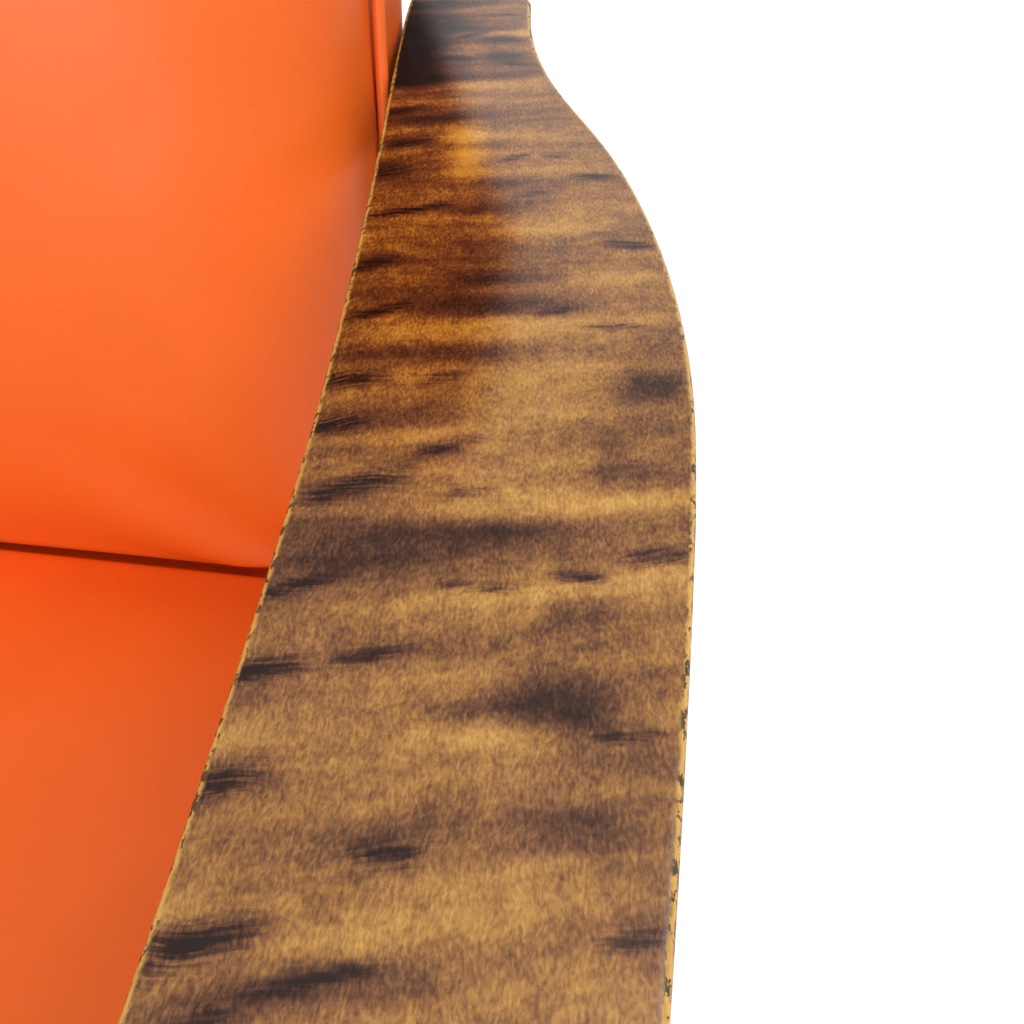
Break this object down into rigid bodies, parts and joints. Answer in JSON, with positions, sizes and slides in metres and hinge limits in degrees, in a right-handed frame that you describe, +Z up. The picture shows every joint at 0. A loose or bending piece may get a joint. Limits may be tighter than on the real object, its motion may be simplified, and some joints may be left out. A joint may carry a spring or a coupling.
{
  "type": "open-arm three-seat sofa",
  "caption": "Long show-wood sofa with flat figured-wood arms that swell and then narrow to the back, sabre legs, and a tight leather seat and leaning piped back.",
  "frame": {"origin": "on the floor, in the middle of the sofa's length and depth", "axes": "+X to the sitter's left, -Y to the front, +Z up"},
  "size_m": [1.836, 0.8424, 0.8646],
  "materials": {
    "show_wood": "gloss varnish over figured grain",
    "frame_wood": "unfinished",
    "orange_leather": "smooth, semi-gloss",
    "zinc_steel": "zinc plated",
    "glide_steel": "pressed, nickel plated",
    "brass": "satin",
    "webbing": "woven jute",
    "hessian": "open weave jute cloth",
    "foam": "open-cell foam",
    "dust_cloth": "matte cotton"
  },
  "bodies": {
    "root": {"arm_left": "show_wood", "arm_right": "show_wood", "front_leg_left": "show_wood", "front_leg_right": "show_wood", "rear_leg_left": "show_wood", "rear_leg_right": "show_wood", "side_rail_left": "show_wood", "side_rail_right": "show_wood", "front_rail": "show_wood", "rear_rail": "show_wood", "cross_rail_left": "frame_wood", "cross_rail_right": "frame_wood", "centre_leg_front": "show_wood", "centre_leg_rear": "show_wood", "corner_blocks": "frame_wood", "corner_bolts": "zinc_steel", "corner_washers": "zinc_steel", "corner_nuts": "zinc_steel", "frame_dowels": "frame_wood", "arm_dowels": "frame_wood", "glides": "glide_steel", "back_top_rail": "frame_wood", "back_bottom_rail": "frame_wood", "back_stile_left": "frame_wood", "back_stile_right": "frame_wood", "back_uprights": "frame_wood", "back_batten": "frame_wood", "back_bolts": "brass", "back_bolt_washers": "brass", "back_spacers": "show_wood", "seat_webbing_long": "webbing", "seat_webbing_cross": "webbing", "seat_hessian": "hessian", "seat_foam": "foam", "seat_cover": "orange_leather", "seat_piping": "orange_leather", "dust_cover": "dust_cloth", "back_webbing_upright": "webbing", "back_webbing_level": "webbing", "back_hessian": "hessian", "back_foam": "foam", "back_cover": "orange_leather", "back_piping": "orange_leather", "outside_back": "orange_leather"}
  },
  "joints": []
}
